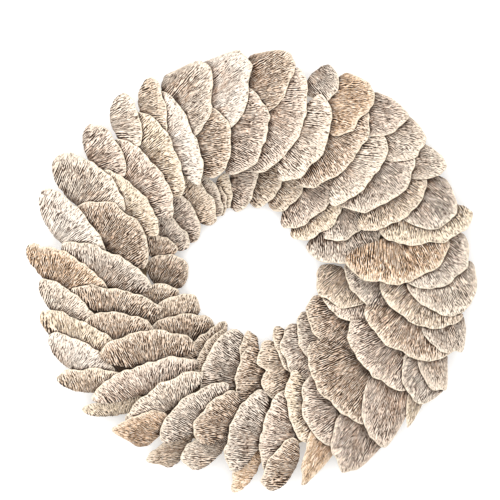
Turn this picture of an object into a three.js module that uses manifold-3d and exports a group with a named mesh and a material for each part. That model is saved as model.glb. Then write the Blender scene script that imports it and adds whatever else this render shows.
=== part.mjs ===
// Dried tree fungus wreath, lying on its back on a flat surface.
// Millimetres, +Z up towards whoever looks at the wreath, +Y towards the wreath's top.
// The brackets overlap like roof tiles all the way round: each one lies on the next one clockwise.

import * as THREE from 'three';
import Module from 'manifold-3d';
import { mergeVertices } from 'three/addons/utils/BufferGeometryUtils.js';

// Straw ring: a bundle with a flat back and a half-round front
const RING_RADIUS = 116.5;
const RING_HALF_WIDTH = 29.5;
const RING_HEIGHT = 34;
const RING_SHOULDER = 9;
const RING_BACK_HALF_WIDTH = 21;
const RING_ARC_STEPS = 6;

// Binding twine, sunk in a groove that winds round the straw
const TWINE_TURNS = 16;
const TWINE_RADIUS = 0.8;
const TWINE_DEPTH = 1.2;
const TWINE_SIDES = 4;
const GROOVE_DEPTH = 2.8;
const GROOVE_HALF_WIDTH = 3.3;

// Brackets: a thick root that thins out to the rim, with gills as ribs on the outward face
const ROOT_THICKNESS = 3.4;
const RIM_THICKNESS = 1.2;
const GILL_RISE = 0.8;
const COLUMN_PITCH = 5;
const MIN_COLUMNS = 8;
const ROWS = [0, 0.58, 1];
const ROOT_NARROWING = 0.62;
const LOBE_DEPTH = 0.05;
const ROUND_FORM = [2.2, 1.65];
const POINTED_FORM = [1.3, 1.3];

// The face of every bracket droops away from the ring's crest and climbs clockwise, ever more gently
const DROOP_OUTWARDS = 0.004;
const DROOP_INWARDS = 0.0021;
const CLIMB = 0.34;
const CLIMB_EASE = 0.0016;

// How the brackets lie on each other: the levels of the outer, middle and inner rows come first
const ROW_LEVELS = [1, 1, 0];
// These outer brackets also lie over the neighbour beside them, as if rooted a little further back
const LAPPING = ['o20', 'o29', 'o30', 'o34', 'o35'];
const LAP_LEAD = 0.087;
const MAX_SINKINGS = 400;
const SEAT_GAP = 0.3;
const JOIN_RADIUS = 2;
const JOIN_SIDES = 6;
const JOIN_MARGIN = 0.8;
const SEED = 41;

// Face colours
const TONES = {
  white: 0xe9e2d6, pale: 0xded2bf, cream: 0xe2d1ae, pink: 0xd8c4b3,
  grey: 0xc3baac, tan: 0xccb393, brown: 0xa98b6e, orange: 0xcd9e74,
};
const STRAW_COLOUR = 0xb8985c;
const TWINE_COLOUR = 0x8c6f45;

// One line a bracket, clockwise from the top:
// the rim's end towards the hole and its end towards the outside, right of and above the wreath's centre,
// how far the rim reaches clockwise beyond the line between its ends,
// how far the root lies behind that line,
// how far the crown leans outwards, in half widths,
// its tone, and, where it has one, a notch (place along the rim from 0 to 1, depth) or the word pointed.
const OUTER_ROW = [
  [[-47, 110], [-68, 162], 32, 14, 0.65, 'pale'],
  [[-19, 116], [-36, 173], 31, 13, 0.65, 'white'],
  [[10, 129], [2, 178], 30, 13, 0.55, 'brown'],
  [[43, 144], [64, 168], 18, 7, 0, 'grey'],
  [[66, 110], [78, 162], 25, 11, 0.3, 'orange', [0.3, 5]],
  [[91, 111], [103, 146], 28, 11, 0.25, 'pink'],
  [[107, 91], [124, 129], 25, 13, 0.1, 'pale'],
  [[129, 76], [138, 105], 24, 11, 0.1, 'pale'],
  [[121, 44], [159, 74], 27, 15, 0.15, 'grey'],
  [[103, 32], [180, 47], 17, 15, 0.1, 'cream'],
  [[125, -8], [173, 30], 23, 15, 0.1, 'grey'],
  [[125, -12], [181, 5], 33, 11, 0.2, 'pale'],
  [[137, -46], [173, -39], 25, 11, 0.3, 'grey'],
  [[134, -72], [159, -72], 26, 13, 0.6, 'pale'],
  [[125, -66], [154, -99], 21, 13, 0.4, 'grey'],
  [[126, -102], [140, -106], 24, 9, 0, 'cream', 'pointed'],
  [[93, -90], [130, -109], 42, 15, 0.5, 'pink'],
  [[71, -116], [104, -145], 33, 13, 0.4, 'pink'],
  [[47, -130], [69, -145], 41, 11, 0.4, 'orange', 'pointed'],
  [[34, -135], [13, -178], 11, 12, 0.3, 'brown'],
  [[27, -96], [12, -163], 12, 15, 0, 'pink'],
  [[8, -134], [-16, -181], 7, 9, 0.2, 'orange'],
  [[-19, -125], [-50, -161], 15, 10, 0.6, 'pale'],
  [[-50, -128], [-72, -160], 16, 8, 1, 'tan'],
  [[-70, -115], [-96, -141], 22, 9, 1, 'orange'],
  [[-84, -104], [-140, -113], 5, 9, 0, 'cream'],
  [[-101, -87], [-160, -86], 8, 12, 0, 'tan'],
  [[-112, -82], [-165, -51], 9, 16, 0, 'white'],
  [[-110, -59], [-172, -33], 7, 18, 0.3, 'cream'],
  [[-126, -43], [-172, -6], 8, 15, 0, 'pale'],
  [[-118, -16], [-183, 22], 10.5, 18, 0, 'orange', [0.75, 3]],
  [[-119, 15], [-170, 68], 9, 21, 0.1, 'white'],
  [[-104, 49], [-161, 93], 16, 20, 0.1, 'pale'],
  [[-105, 77], [-133, 120], 11.5, 16, 0, 'pink'],
  [[-92, 102], [-105, 146], 7, 17, 0, 'pale'],
  [[-71, 113], [-82, 159], 5.5, 16, 0, 'tan'],
];
const MIDDLE_ROW = [
  [[-33, 76], [-33, 133], 16, 14, 0, 'brown'],
  [[-20, 79], [-5, 150], 25, 8, 0, 'pink'],
  [[2, 81], [37, 166], 21, 10, 0, 'pink'],
  [[22, 74], [56, 144], 21, 10, 0, 'pale'],
  [[38, 70], [93, 130], 18, 12, 0, 'brown'],
  [[64, 54], [106, 111], 14, 12, 0.2, 'pale'],
  [[70, 55], [130, 97], 22, 8, 0, 'grey'],
  [[86, 36], [141, 76], 15, 12, 0, 'tan'],
  [[75, 9], [160, 25], 26, 12, 0, 'orange'],
  [[104, -8], [171, -37], 20, 8, 0, 'tan'],
  [[91, -29], [163, -64], 20, 10, 0.1, 'brown'],
  [[80, -40], [128, -95], 17, 14, 0, 'pink', [0.65, 4]],
  [[47, -58], [98, -122], 18, 22, 0, 'brown'],
  [[50, -82], [70, -142], 19, 8, 0, 'pink'],
  [[34, -80], [44, -139], 11, 8, 0, 'cream'],
  [[8, -96], [-17, -162], 14, 14, 0, 'grey'],
  [[-14, -97], [-42, -139], 14, 14, 0.3, 'brown'],
  [[-20, -91], [-74, -137], 14, 12, 0.1, 'grey'],
  [[-40, -82], [-103, -122], 11, 10, 0, 'pale'],
  [[-45, -74], [-131, -104], 14, 10, 0, 'pink'],
  [[-47, -59], [-124, -67], 15, 14, 0, 'brown'],
  [[-79, -49], [-137, -41], 12, 10, 0, 'brown'],
  [[-74, -30], [-147, -14], 8, 14, 0, 'brown'],
  [[-82, -13], [-155, 22], 12, 14, 0, 'grey'],
  [[-88, 3], [-145, 51], 26, 8, 0, 'brown'],
  [[-77, 30], [-122, 82], 12, 12, 0, 'cream'],
  [[-66, 44], [-112, 107], 15, 14, 0, 'pink'],
  [[-59, 60], [-93, 130], 14, 14, 0, 'cream'],
  [[-43, 71], [-75, 147], 12, 12, 0, 'white'],
];
const INNER_ROW = [
  [[-13, 49], [-1, 92], 9.5, 13, 0, 'pink'],
  [[1, 53], [23, 90], 10.5, 13, 0, 'tan'],
  [[17, 50], [41, 82], 10, 15, 0, 'tan'],
  [[25, 36], [72, 76], 10.5, 15, 0, 'pink'],
  [[32, 28], [72, 54], 10.5, 11, 0, 'cream'],
  [[58, 28], [99, 52], 11, 13, 0, 'grey'],
  [[44, 19], [105, 36], 20, 11, 0, 'grey'],
  [[76, 6], [114, -31], 12, 19, 0, 'grey'],
  [[55, 4], [92, -24], 18.5, 11, -0.1, 'tan'],
  [[58, -18], [98, -41], 10, 13, 0, 'pink'],
  [[50, -20], [84, -67], 17, 11, -0.2, 'brown'],
  [[41, -33], [54, -76], 10, 11, 0, 'grey'],
  [[31, -43], [48, -88], 15, 11, 0, 'grey'],
  [[18, -45], [33, -84], 5.5, 11, 0, 'tan'],
  [[11, -56], [18, -104], 10, 15, 0, 'tan', [0.5, 6]],
  [[-1, -61], [-8, -110], 9, 17, 0, 'brown'],
  [[-4, -48], [-8, -80], 4, 11, 0, 'tan'],
  [[-13, -47], [-38, -105], 13.5, 19, 0, 'grey'],
  [[-23, -47], [-47, -82], 6, 11, 0, 'tan'],
  [[-22, -41], [-57, -70], 4, 11, 0, 'tan'],
  [[-31, -45], [-82, -45], 10.5, 13, -0.2, 'brown'],
  [[-43, -30], [-90, -39], 14, 11, -0.5, 'tan'],
  [[-60, -21], [-98, -16], 9, 11, -0.4, 'tan'],
  [[-55, -9], [-86, 8], 16, 13, -0.25, 'brown'],
  [[-61, 18], [-90, 32], 4.5, 15, 0, 'brown'],
  [[-52, 20], [-80, 47], 8, 13, 0, 'grey'],
  [[-46, 25], [-68, 65], 11, 13, 0, 'pink'],
  [[-31, 40], [-57, 78], 10, 15, 0, 'tan'],
  [[-26, 46], [-42, 80], 7, 11, 0, 'pale'],
  [[-24, 46], [-27, 70], 4, 9, 0, 'brown'],
  [[-19, 52], [-21, 81], 3, 11, 0, 'cream'],
];
// Neighbours that have grown together by a short neck are one piece
const PIECE_COUNT = 58;
const MAX_CLUSTER = 4;
const ROW_LETTERS = ['o', 'm', 'i'];

const wasm = await Module();
wasm.setup();

function seededRandom(seed) {
  let state = seed >>> 0;
  return () => {
    state = (state + 0x6d2b79f5) >>> 0;
    let mixed = Math.imul(state ^ (state >>> 15), state | 1);
    mixed ^= mixed + Math.imul(mixed ^ (mixed >>> 7), mixed | 61);
    return ((mixed ^ (mixed >>> 14)) >>> 0) / 4294967296;
  };
}

// Angle clockwise from the top, and a difference of two such angles brought within half a turn
const bearingOf = (x, y) => Math.atan2(x, y);
const wrap = (angle) => angle - 2 * Math.PI * Math.round(angle / (2 * Math.PI));

// Height of a bracket's underside over its root line's height at the ring's crest
function undersideHeight(x, y, rootBearing) {
  const radius = Math.hypot(x, y);
  const clockwise = RING_RADIUS * wrap(bearingOf(x, y) - rootBearing);
  const climb = CLIMB * clockwise - CLIMB_EASE * clockwise * clockwise;
  const droop = radius > RING_RADIUS ? DROOP_OUTWARDS : DROOP_INWARDS;
  return climb - droop * (radius - RING_RADIUS) ** 2;
}

// Plan and thickness of a bracket: columns of points from the root edge to the rim, one on each gill line
function shapeBracket([inner, outer, reach, back, lean, tone, extra], row, index) {
  const random = seededRandom(SEED + index * 7 + row * 1000);
  const halfWidth = Math.hypot(outer[0] - inner[0], outer[1] - inner[1]) / 2;
  const along = [(outer[0] - inner[0]) / 2 / halfWidth, (outer[1] - inner[1]) / 2 / halfWidth];
  const across = [along[1], -along[0]];
  const centre = [(inner[0] + outer[0]) / 2, (inner[1] + outer[1]) / 2];
  const place = (a, c) => [0, 1].map((axis) => centre[axis] + along[axis] * a + across[axis] * c);
  const rootBearing = bearingOf(...place(0, -back));
  const [power, root] = extra === 'pointed' ? POINTED_FORM : ROUND_FORM;
  const notch = Array.isArray(extra) ? extra : null;
  const lobes = 2 + 2 * random();
  const lobePhase = random();
  const columnCount = Math.max(MIN_COLUMNS, 2 * Math.round(halfWidth / COLUMN_PITCH));
  const columns = [];
  for (let c = 0; c <= columnCount; c += 1) {
    const u = c / columnCount;
    const t = -Math.cos(Math.PI * u);
    const swell = (1 - Math.abs(t) ** power) ** (1 / root);
    const lobe = 1 + LOBE_DEPTH * Math.sin(2 * Math.PI * (lobes * u + lobePhase));
    const cut = notch && Math.round(notch[0] * columnCount) === c ? notch[1] : 0;
    const tRoot = t * (1 - ROOT_NARROWING * (1 - t * t));
    const rimPoint = place((t + lean * (1 - t * t)) * halfWidth, reach * swell * lobe - cut);
    const rootPoint = place(tRoot * halfWidth, -back * Math.sqrt(1 - tRoot * tRoot));
    const isTip = c === 0 || c === columnCount;
    columns.push((isTip ? [1] : ROWS).map((v) => {
      const x = rootPoint[0] + (rimPoint[0] - rootPoint[0]) * v;
      const y = rootPoint[1] + (rimPoint[1] - rootPoint[1]) * v;
      const fullness = (1 - v) * Math.sqrt(Math.sin(Math.PI * u));
      const body = RIM_THICKNESS + (ROOT_THICKNESS - RIM_THICKNESS) * fullness;
      const gill = isTip || c % 2 === 0 ? 0 : GILL_RISE * v;
      const under = undersideHeight(x, y, rootBearing);
      return { x, y, under, top: under + body + gill };
    }));
  }
  const name = `${ROW_LETTERS[row]}${String(index + 1).padStart(2, '0')}`;
  const order = rootBearing - (LAPPING.includes(name) ? LAP_LEAD : 0);
  return { columns, tone, row, name, order, lift: 0 };
}

// On one level each bracket lies on the next one clockwise.
// The outer and the middle row share a level, and both lie on the inner row.
function isAbove(upper, lower) {
  if (ROW_LEVELS[upper.row] !== ROW_LEVELS[lower.row]) {
    return ROW_LEVELS[upper.row] > ROW_LEVELS[lower.row];
  }
  return wrap(lower.order - upper.order) > 0;
}

// Triangles of one face as triples of the bracket's points, seen anticlockwise from +Z
// They are split alike on both faces
function faceTriangles({ columns }) {
  const triangles = [];
  for (let c = 0; c + 1 < columns.length; c += 1) {
    const near = columns[c];
    const far = columns[c + 1];
    for (let v = 0; v + 1 < ROWS.length; v += 1) {
      if (near.length === 1) {
        triangles.push([near[0], far[v + 1], far[v]]);
      } else if (far.length === 1) {
        triangles.push([near[v], near[v + 1], far[0]]);
      } else {
        triangles.push([near[v], far[v + 1], far[v]], [near[v], near[v + 1], far[v + 1]]);
      }
    }
  }
  return triangles;
}

// The bracket's outline in plan, anticlockwise: along the rim and back along the root edge
function outlineOf({ columns }) {
  const rim = columns.map((column) => column[column.length - 1]);
  const rootEdge = columns.slice(1, -1).map((column) => column[0]);
  return [...rim, ...rootEdge.reverse()];
}

function isInside(outline, x, y) {
  let inside = false;
  outline.forEach((a, i) => {
    const b = outline[(i + 1) % outline.length];
    if ((a.y > y) !== (b.y > y) && x < a.x + ((y - a.y) / (b.y - a.y)) * (b.x - a.x)) {
      inside = !inside;
    }
  });
  return inside;
}

// Closed solid of a bracket at its own height
function bracketSolid(bracket) {
  const points = bracket.columns.flat();
  const indexOf = new Map(points.map((point, i) => [point, i]));
  const count = points.length;
  const vertices = [];
  points.forEach((p) => vertices.push(p.x, p.y, p.top + bracket.lift));
  points.forEach((p) => vertices.push(p.x, p.y, p.under + bracket.lift));
  const indices = [];
  faceTriangles(bracket).forEach((triangle) => {
    const [a, b, c] = triangle.map((point) => indexOf.get(point));
    indices.push(a, b, c, count + a, count + c, count + b);
  });
  const edge = outlineOf(bracket).map((point) => indexOf.get(point));
  edge.forEach((a, i) => {
    const b = edge[(i + 1) % edge.length];
    indices.push(a, count + a, b, b, count + a, count + b);
  });
  return toManifold(vertices, indices);
}

function toManifold(vertices, indices) {
  const mesh = new wasm.Mesh({
    numProp: 3, vertProperties: new Float32Array(vertices), triVerts: new Uint32Array(indices),
  });
  return new wasm.Manifold(mesh);
}

function manifoldGeometry(solid) {
  const mesh = solid.getMesh();
  const geometry = new THREE.BufferGeometry();
  geometry.setAttribute('position', new THREE.BufferAttribute(mesh.vertProperties, 3));
  geometry.setIndex(new THREE.BufferAttribute(mesh.triVerts, 1));
  geometry.computeVertexNormals();
  return geometry;
}

// A grid of points closed both ways round, as on a doughnut. Once round j, a line goes on as line i + shift.
function closedGrid(countI, countJ, shift, pointAt) {
  const vertices = [];
  const indices = [];
  for (let i = 0; i < countI; i += 1) {
    for (let j = 0; j < countJ; j += 1) {
      vertices.push(...pointAt(i, j));
      const nextJ = (line) => (j + 1 < countJ
        ? (line % countI) * countJ + j + 1
        : ((line + shift) % countI) * countJ);
      const here = i * countJ + j;
      const beside = ((i + 1) % countI) * countJ + j;
      indices.push(here, beside, nextJ(i), beside, nextJ(i + 1), nextJ(i));
    }
  }
  return { vertices, indices };
}

// The ring's cross-section, from the flat back's outer edge over the front to its inner edge
function ringSection() {
  const points = [[RING_BACK_HALF_WIDTH, 0]];
  for (let step = 0; step <= RING_ARC_STEPS; step += 1) {
    const angle = (Math.PI * step) / RING_ARC_STEPS;
    const height = RING_SHOULDER + (RING_HEIGHT - RING_SHOULDER) * Math.sin(angle);
    points.push([RING_HALF_WIDTH * Math.cos(angle), height]);
  }
  points.push([-RING_BACK_HALF_WIDTH, 0]);
  return points;
}

const SECTION = ringSection();

// Direction into the straw at each corner of the section
const INWARDS = SECTION.map((point, j) => {
  const before = SECTION[(j + SECTION.length - 1) % SECTION.length];
  const after = SECTION[(j + 1) % SECTION.length];
  const direction = new THREE.Vector2(-(after[1] - before[1]), after[0] - before[0]).normalize();
  return [direction.x, direction.y];
});

// A point of the ring at a corner of its section, a little way into the straw
function ringPoint(angle, j, depth) {
  const flat = j === 0 || j === SECTION.length - 1;
  const side = flat ? [0, 1] : INWARDS[j];
  const radius = RING_RADIUS + SECTION[j][0] + side[0] * depth;
  return [radius * Math.cos(angle), radius * Math.sin(angle), SECTION[j][1] + side[1] * depth];
}

// The groove's place round the ring at the end of each section step, turn after turn
const TURN_ANGLE = (2 * Math.PI) / TWINE_TURNS;
const grooveAngle = (turn, j) => TURN_ANGLE * (turn + j / SECTION.length);

function strawRing() {
  const halfAngle = GROOVE_HALF_WIDTH / RING_RADIUS;
  const lines = [[-halfAngle, 0], [0, GROOVE_DEPTH], [halfAngle, 0], [TURN_ANGLE / 2, 0]];
  return closedGrid(TWINE_TURNS * lines.length, SECTION.length, lines.length, (i, j) => {
    const [offset, depth] = lines[i % lines.length];
    return ringPoint(grooveAngle(Math.floor(i / lines.length), j) + offset, j, depth);
  });
}

function bindingTwine() {
  const path = [];
  for (let turn = 0; turn < TWINE_TURNS; turn += 1) {
    SECTION.forEach((corner, j) => path.push({
      centre: new THREE.Vector3(...ringPoint(grooveAngle(turn, j), j, TWINE_DEPTH)),
      surface: new THREE.Vector3(...ringPoint(grooveAngle(turn, j), j, 0)),
    }));
  }
  return closedGrid(path.length, TWINE_SIDES, 0, (i, side) => {
    const { centre, surface } = path[i];
    const after = path[(i + 1) % path.length].centre;
    const before = path[(i + path.length - 1) % path.length].centre;
    const tangent = after.clone().sub(before).normalize();
    const outward = surface.clone().sub(centre).normalize();
    const sideways = new THREE.Vector3().crossVectors(tangent, outward).normalize();
    const angle = (-2 * Math.PI * side) / TWINE_SIDES;
    const corner = centre.clone()
      .addScaledVector(outward, TWINE_RADIUS * Math.cos(angle))
      .addScaledVector(sideways, TWINE_RADIUS * Math.sin(angle));
    return corner.toArray();
  });
}

// Height of a triangle's plane at a place in plan
function planeHeight([a, b, c], x, y) {
  const area = (b[0] - a[0]) * (c[1] - a[1]) - (c[0] - a[0]) * (b[1] - a[1]);
  const toB = ((x - a[0]) * (c[1] - a[1]) - (c[0] - a[0]) * (y - a[1])) / area;
  const toC = ((b[0] - a[0]) * (y - a[1]) - (x - a[0]) * (b[1] - a[1])) / area;
  return a[2] + toB * (b[2] - a[2]) + toC * (c[2] - a[2]);
}

// The part of a polygon that lies over a triangle, both in plan and anticlockwise
function clipToTriangle(polygon, triangle) {
  let kept = polygon;
  triangle.forEach((a, i) => {
    const b = triangle[(i + 1) % 3];
    const sideOf = ([x, y]) => (b[0] - a[0]) * (y - a[1]) - (b[1] - a[1]) * (x - a[0]);
    const next = [];
    kept.forEach((p, k) => {
      const q = kept[(k + 1) % kept.length];
      const pSide = sideOf(p);
      const qSide = sideOf(q);
      if (pSide >= 0) {
        next.push(p);
      }
      if (pSide * qSide < 0) {
        const share = pSide / (pSide - qSide);
        next.push([p[0] + share * (q[0] - p[0]), p[1] + share * (q[1] - p[1])]);
      }
    });
    kept = next;
  });
  return kept;
}

// A face as triangles of [x, y, z] that know their own bounds in plan
function heightFace(triangles) {
  return triangles.map((corners) => ({
    corners,
    minX: Math.min(...corners.map((p) => p[0])),
    maxX: Math.max(...corners.map((p) => p[0])),
    minY: Math.min(...corners.map((p) => p[1])),
    maxY: Math.max(...corners.map((p) => p[1])),
  }));
}

const faceOf = (bracket, side) => heightFace(
  faceTriangles(bracket).map((triangle) => triangle.map((p) => [p.x, p.y, p[side]])),
);

// Least height of one face over another where they overlap in plan
function leastClearance(upperFace, lowerFace) {
  let least = Infinity;
  upperFace.forEach((upper) => lowerFace.forEach((lower) => {
    const apart = upper.minX > lower.maxX || lower.minX > upper.maxX
      || upper.minY > lower.maxY || lower.minY > upper.maxY;
    if (!apart) {
      clipToTriangle(upper.corners, lower.corners).forEach(([x, y]) => {
        least = Math.min(least, planeHeight(upper.corners, x, y) - planeHeight(lower.corners, x, y));
      });
    }
  }));
  return least;
}

// The faces of a closed mesh that look up
function upwardFace({ vertices, indices }) {
  const triangles = [];
  for (let i = 0; i < indices.length; i += 3) {
    const corners = [0, 1, 2].map((k) => vertices.slice(indices[i + k] * 3, indices[i + k] * 3 + 3));
    const [a, b, c] = corners;
    if ((b[0] - a[0]) * (c[1] - a[1]) - (c[0] - a[0]) * (b[1] - a[1]) > 1e-6) {
      triangles.push(corners);
    }
  }
  return heightFace(triangles);
}

// Each bracket sinks until it lies a seat gap above the straw or above a bracket that it covers
function settle(brackets, ringFace) {
  const tops = brackets.map((bracket) => faceOf(bracket, 'top'));
  const supports = brackets.map((bracket) => {
    const under = faceOf(bracket, 'under');
    const onRing = SEAT_GAP - leastClearance(under, ringFace);
    const onBrackets = [];
    brackets.forEach((other, j) => {
      if (other !== bracket && isAbove(bracket, other)) {
        const clearance = leastClearance(under, tops[j]);
        if (clearance < Infinity) {
          onBrackets.push({ other, rise: SEAT_GAP - clearance });
        }
      }
    });
    return { bracket, onRing, onBrackets };
  });
  brackets.forEach((bracket) => {
    bracket.lift = -Infinity;
  });
  let moved = true;
  for (let pass = 0; moved && pass < MAX_SINKINGS; pass += 1) {
    moved = false;
    supports.forEach(({ bracket, onRing, onBrackets }) => {
      const lift = Math.max(onRing, ...onBrackets.map(({ other, rise }) => other.lift + rise));
      if (lift > bracket.lift + 1e-6) {
        bracket.lift = lift;
        moved = true;
      }
    });
  }
}

// Middle of a bracket's thickness at a place in plan
function middleHeight(bracket, x, y) {
  const triangle = faceTriangles(bracket).find((corners) => isInside(corners, x, y));
  if (!triangle) {
    return NaN;
  }
  const heightOf = (side) => planeHeight(triangle.map((p) => [p.x, p.y, p[side]]), x, y);
  return bracket.lift + (heightOf('top') + heightOf('under')) / 2;
}

// The short neck by which two neighbours have grown together, where no third bracket passes between them
function joinNeck(upper, lower, brackets) {
  const upperOutline = outlineOf(upper);
  const lowerOutline = outlineOf(lower);
  if (!upperOutline.some((p) => isInside(lowerOutline, p.x, p.y))) {
    return null;
  }
  const between = brackets
    .filter((b) => b !== upper && b !== lower && isAbove(upper, b) && isAbove(b, lower))
    .map(outlineOf);
  let best = null;
  upper.columns.slice(1, -1).forEach((column) => {
    for (let v = 0.1; v < 1; v += 0.1) {
      const x = column[0].x + (column[2].x - column[0].x) * v;
      const y = column[0].y + (column[2].y - column[0].y) * v;
      const around = [[x, y]];
      for (let side = 0; side < JOIN_SIDES; side += 1) {
        const angle = (2 * Math.PI * side) / JOIN_SIDES;
        const reach = JOIN_RADIUS + JOIN_MARGIN;
        around.push([x + reach * Math.cos(angle), y + reach * Math.sin(angle)]);
      }
      const seated = [upperOutline, lowerOutline].every(
        (outline) => around.every(([px, py]) => isInside(outline, px, py)),
      );
      const free = !between.some((outline) => around.some(([px, py]) => isInside(outline, px, py)));
      if (seated && free) {
        const top = middleHeight(upper, x, y);
        const bottom = middleHeight(lower, x, y);
        const isShorter = !best || top - bottom < best.top - best.bottom;
        if (top > bottom && isShorter) {
          best = { x, y, top, bottom };
        }
      }
    }
  });
  if (!best) {
    return null;
  }
  const geometry = new THREE.CylinderGeometry(JOIN_RADIUS, JOIN_RADIUS, best.top - best.bottom, JOIN_SIDES);
  geometry.rotateX(Math.PI / 2);
  geometry.translate(best.x, best.y, (best.top + best.bottom) / 2);
  return geometry;
}

// Neighbours grow together, shortest neck first, until the wreath has its number of pieces
function growClusters(brackets) {
  const necks = [];
  brackets.forEach((upper) => brackets.forEach((lower) => {
    const neck = upper !== lower && isAbove(upper, lower) ? joinNeck(upper, lower, brackets) : null;
    if (neck) {
      necks.push({ upper, lower, neck });
    }
  }));
  necks.sort((a, b) => a.neck.parameters.height - b.neck.parameters.height);
  let clusters = brackets.map((bracket) => ({ members: [bracket], necks: [] }));
  necks.forEach(({ upper, lower, neck }) => {
    const first = clusters.find((cluster) => cluster.members.includes(upper));
    const second = clusters.find((cluster) => cluster.members.includes(lower));
    const size = first.members.length + second.members.length;
    if (first !== second && size <= MAX_CLUSTER && clusters.length > PIECE_COUNT) {
      first.members.push(...second.members);
      first.necks.push(...second.necks, neck);
      clusters = clusters.filter((cluster) => cluster !== second);
    }
  });
  return clusters;
}

function clusterGeometry({ members, necks }) {
  const solids = members.map(bracketSolid);
  necks.forEach((neck) => {
    const merged = mergeVertices(neck.deleteAttribute('normal').deleteAttribute('uv'));
    solids.push(toManifold(merged.attributes.position.array, merged.index.array));
  });
  return manifoldGeometry(solids.reduce((whole, solid) => whole.add(solid)));
}

// A piece is named after its brackets: their row and their place in it, counted clockwise from the top
const pieceName = ({ members }) => `bracket_${members.map((bracket) => bracket.name).sort().join('_')}`;

function closedGeometry({ vertices, indices }) {
  return manifoldGeometry(toManifold(vertices, indices));
}

const ringMesh = strawRing();
const brackets = [OUTER_ROW, MIDDLE_ROW, INNER_ROW].flatMap(
  (table, row) => table.map((line, index) => shapeBracket(line, row, index)),
);
settle(brackets, upwardFace(ringMesh));

const group = new THREE.Group();

function addPart(name, geometry, color, roughness) {
  const mesh = new THREE.Mesh(geometry, new THREE.MeshStandardMaterial({ color, roughness, metalness: 0 }));
  mesh.name = name;
  group.add(mesh);
}

addPart('straw_ring', closedGeometry(ringMesh), STRAW_COLOUR, 0.9);
addPart('binding_twine', closedGeometry(bindingTwine()), TWINE_COLOUR, 0.85);
growClusters(brackets).forEach((cluster) => {
  addPart(pieceName(cluster), clusterGeometry(cluster), TONES[cluster.members[0].tone], 0.95);
});

export default group;
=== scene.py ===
"""Looks for the dried tree fungus wreath: overlapping gilled brackets on a straw ring bound with twine.

Metres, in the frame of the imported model: +Z up towards whoever looks at the wreath, +Y towards its top.
"""

import math
from functools import cache

import bpy
import numpy as np
from mathutils.bvhtree import BVHTree
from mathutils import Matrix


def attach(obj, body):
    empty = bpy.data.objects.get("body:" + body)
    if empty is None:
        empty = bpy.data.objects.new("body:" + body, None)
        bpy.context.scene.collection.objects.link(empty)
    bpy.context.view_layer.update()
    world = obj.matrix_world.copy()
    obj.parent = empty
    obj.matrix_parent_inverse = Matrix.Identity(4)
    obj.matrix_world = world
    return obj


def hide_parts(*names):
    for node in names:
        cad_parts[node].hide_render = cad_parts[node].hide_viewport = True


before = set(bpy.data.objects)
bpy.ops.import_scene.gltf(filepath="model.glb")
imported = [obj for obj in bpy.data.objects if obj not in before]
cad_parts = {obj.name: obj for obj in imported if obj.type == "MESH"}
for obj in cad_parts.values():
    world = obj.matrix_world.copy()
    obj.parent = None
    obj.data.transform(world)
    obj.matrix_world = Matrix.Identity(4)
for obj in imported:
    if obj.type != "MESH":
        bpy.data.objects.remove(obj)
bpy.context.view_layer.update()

MM = 0.001
SAME_POINT = 0.02 * MM

# Straw ring and twine, as in the solids
RING_RADIUS = 0.1165
RING_HALF_WIDTH = 0.0295
RING_HEIGHT = 0.034
RING_SHOULDER = 0.009
RING_BACK_HALF_WIDTH = 0.021
FRONT_CORNERS = 7
TWINE_TURNS = 16

# Brackets, as in the solids
ROOT_THICKNESS = 0.0034
RIM_THICKNESS = 0.0012
ROOT_NARROWING = 0.62
LOBE_DEPTH = 0.05
ROUND_FORM = (2.2, 1.65)
POINTED_FORM = (1.3, 1.3)
DROOP_OUTWARDS = 4.0
DROOP_INWARDS = 2.1
CLIMB = 0.34
CLIMB_EASE = 1.6
COLUMN_PITCH = 0.005
MIN_COLUMNS = 8
SEED = 41

# Columns of a bracket, a few to each gill, and its rows from root (0) to rim (1)
GILL_PITCH = 0.0015
GILL_WIDTHS = (0.65, 1.35)
COLUMNS_PER_GILL = 3
RIM_SAMPLES = 800
FACE_ROWS = (0, 0.2, 0.33, 0.42, 0.5, 0.57, 0.63, 0.69, 0.74, 0.79, 0.835, 0.875, 0.91, 0.94, 0.965, 0.985)
BACK_ROWS = (0.975, 0.6, 0)

# Waves of a rim as length and height, and how they swell and die away between a few knots
RIM_WAVES = ((0.0213, 0.0009), (0.0097, 0.0004), (0.0043, 0.00012))
RIM_WAVE_SWELL = (0.2, 1)
RIM_WAVE_KNOTS = 6

# How closely the neighbours roof a face, as occlusion from rays cast at the solids; the material paints shade
# from it
OCCLUSION_REACH = 0.02
OCCLUSION_START = 0.0009
OCCLUSION_RAYS = 20

# Gills. A fade or a break is a range of a value, and what it gives at either end. The noise that breaks the
# gills is a scale, a detail and a roughness.
GILL_DEPTH = 0.0013
GILL_VARIETY = (0.85, 1.15)
GILL_FADE = (0.001, 0.015, 0.4, 1.2)
GILL_BREAKS = (0.36, 0.58, 0.15, 1.7)
GILL_APART = 1.3
GILL_NOISE = (1.3, 2.0, 0.6)
RIDGE_LEVEL = 0.45
BARE_RIM_EASE = 2.4
FACE_SHARE = 0.75
WAVE_FADE = (0.03, 0.0)
WAVE_SKEW = 25.0
WANDER_FADE = (0.0, 0.005, 0.15, 1.0)
WANDER_SCALE = 210.0
WANDER_DETAIL = 3.0

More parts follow.
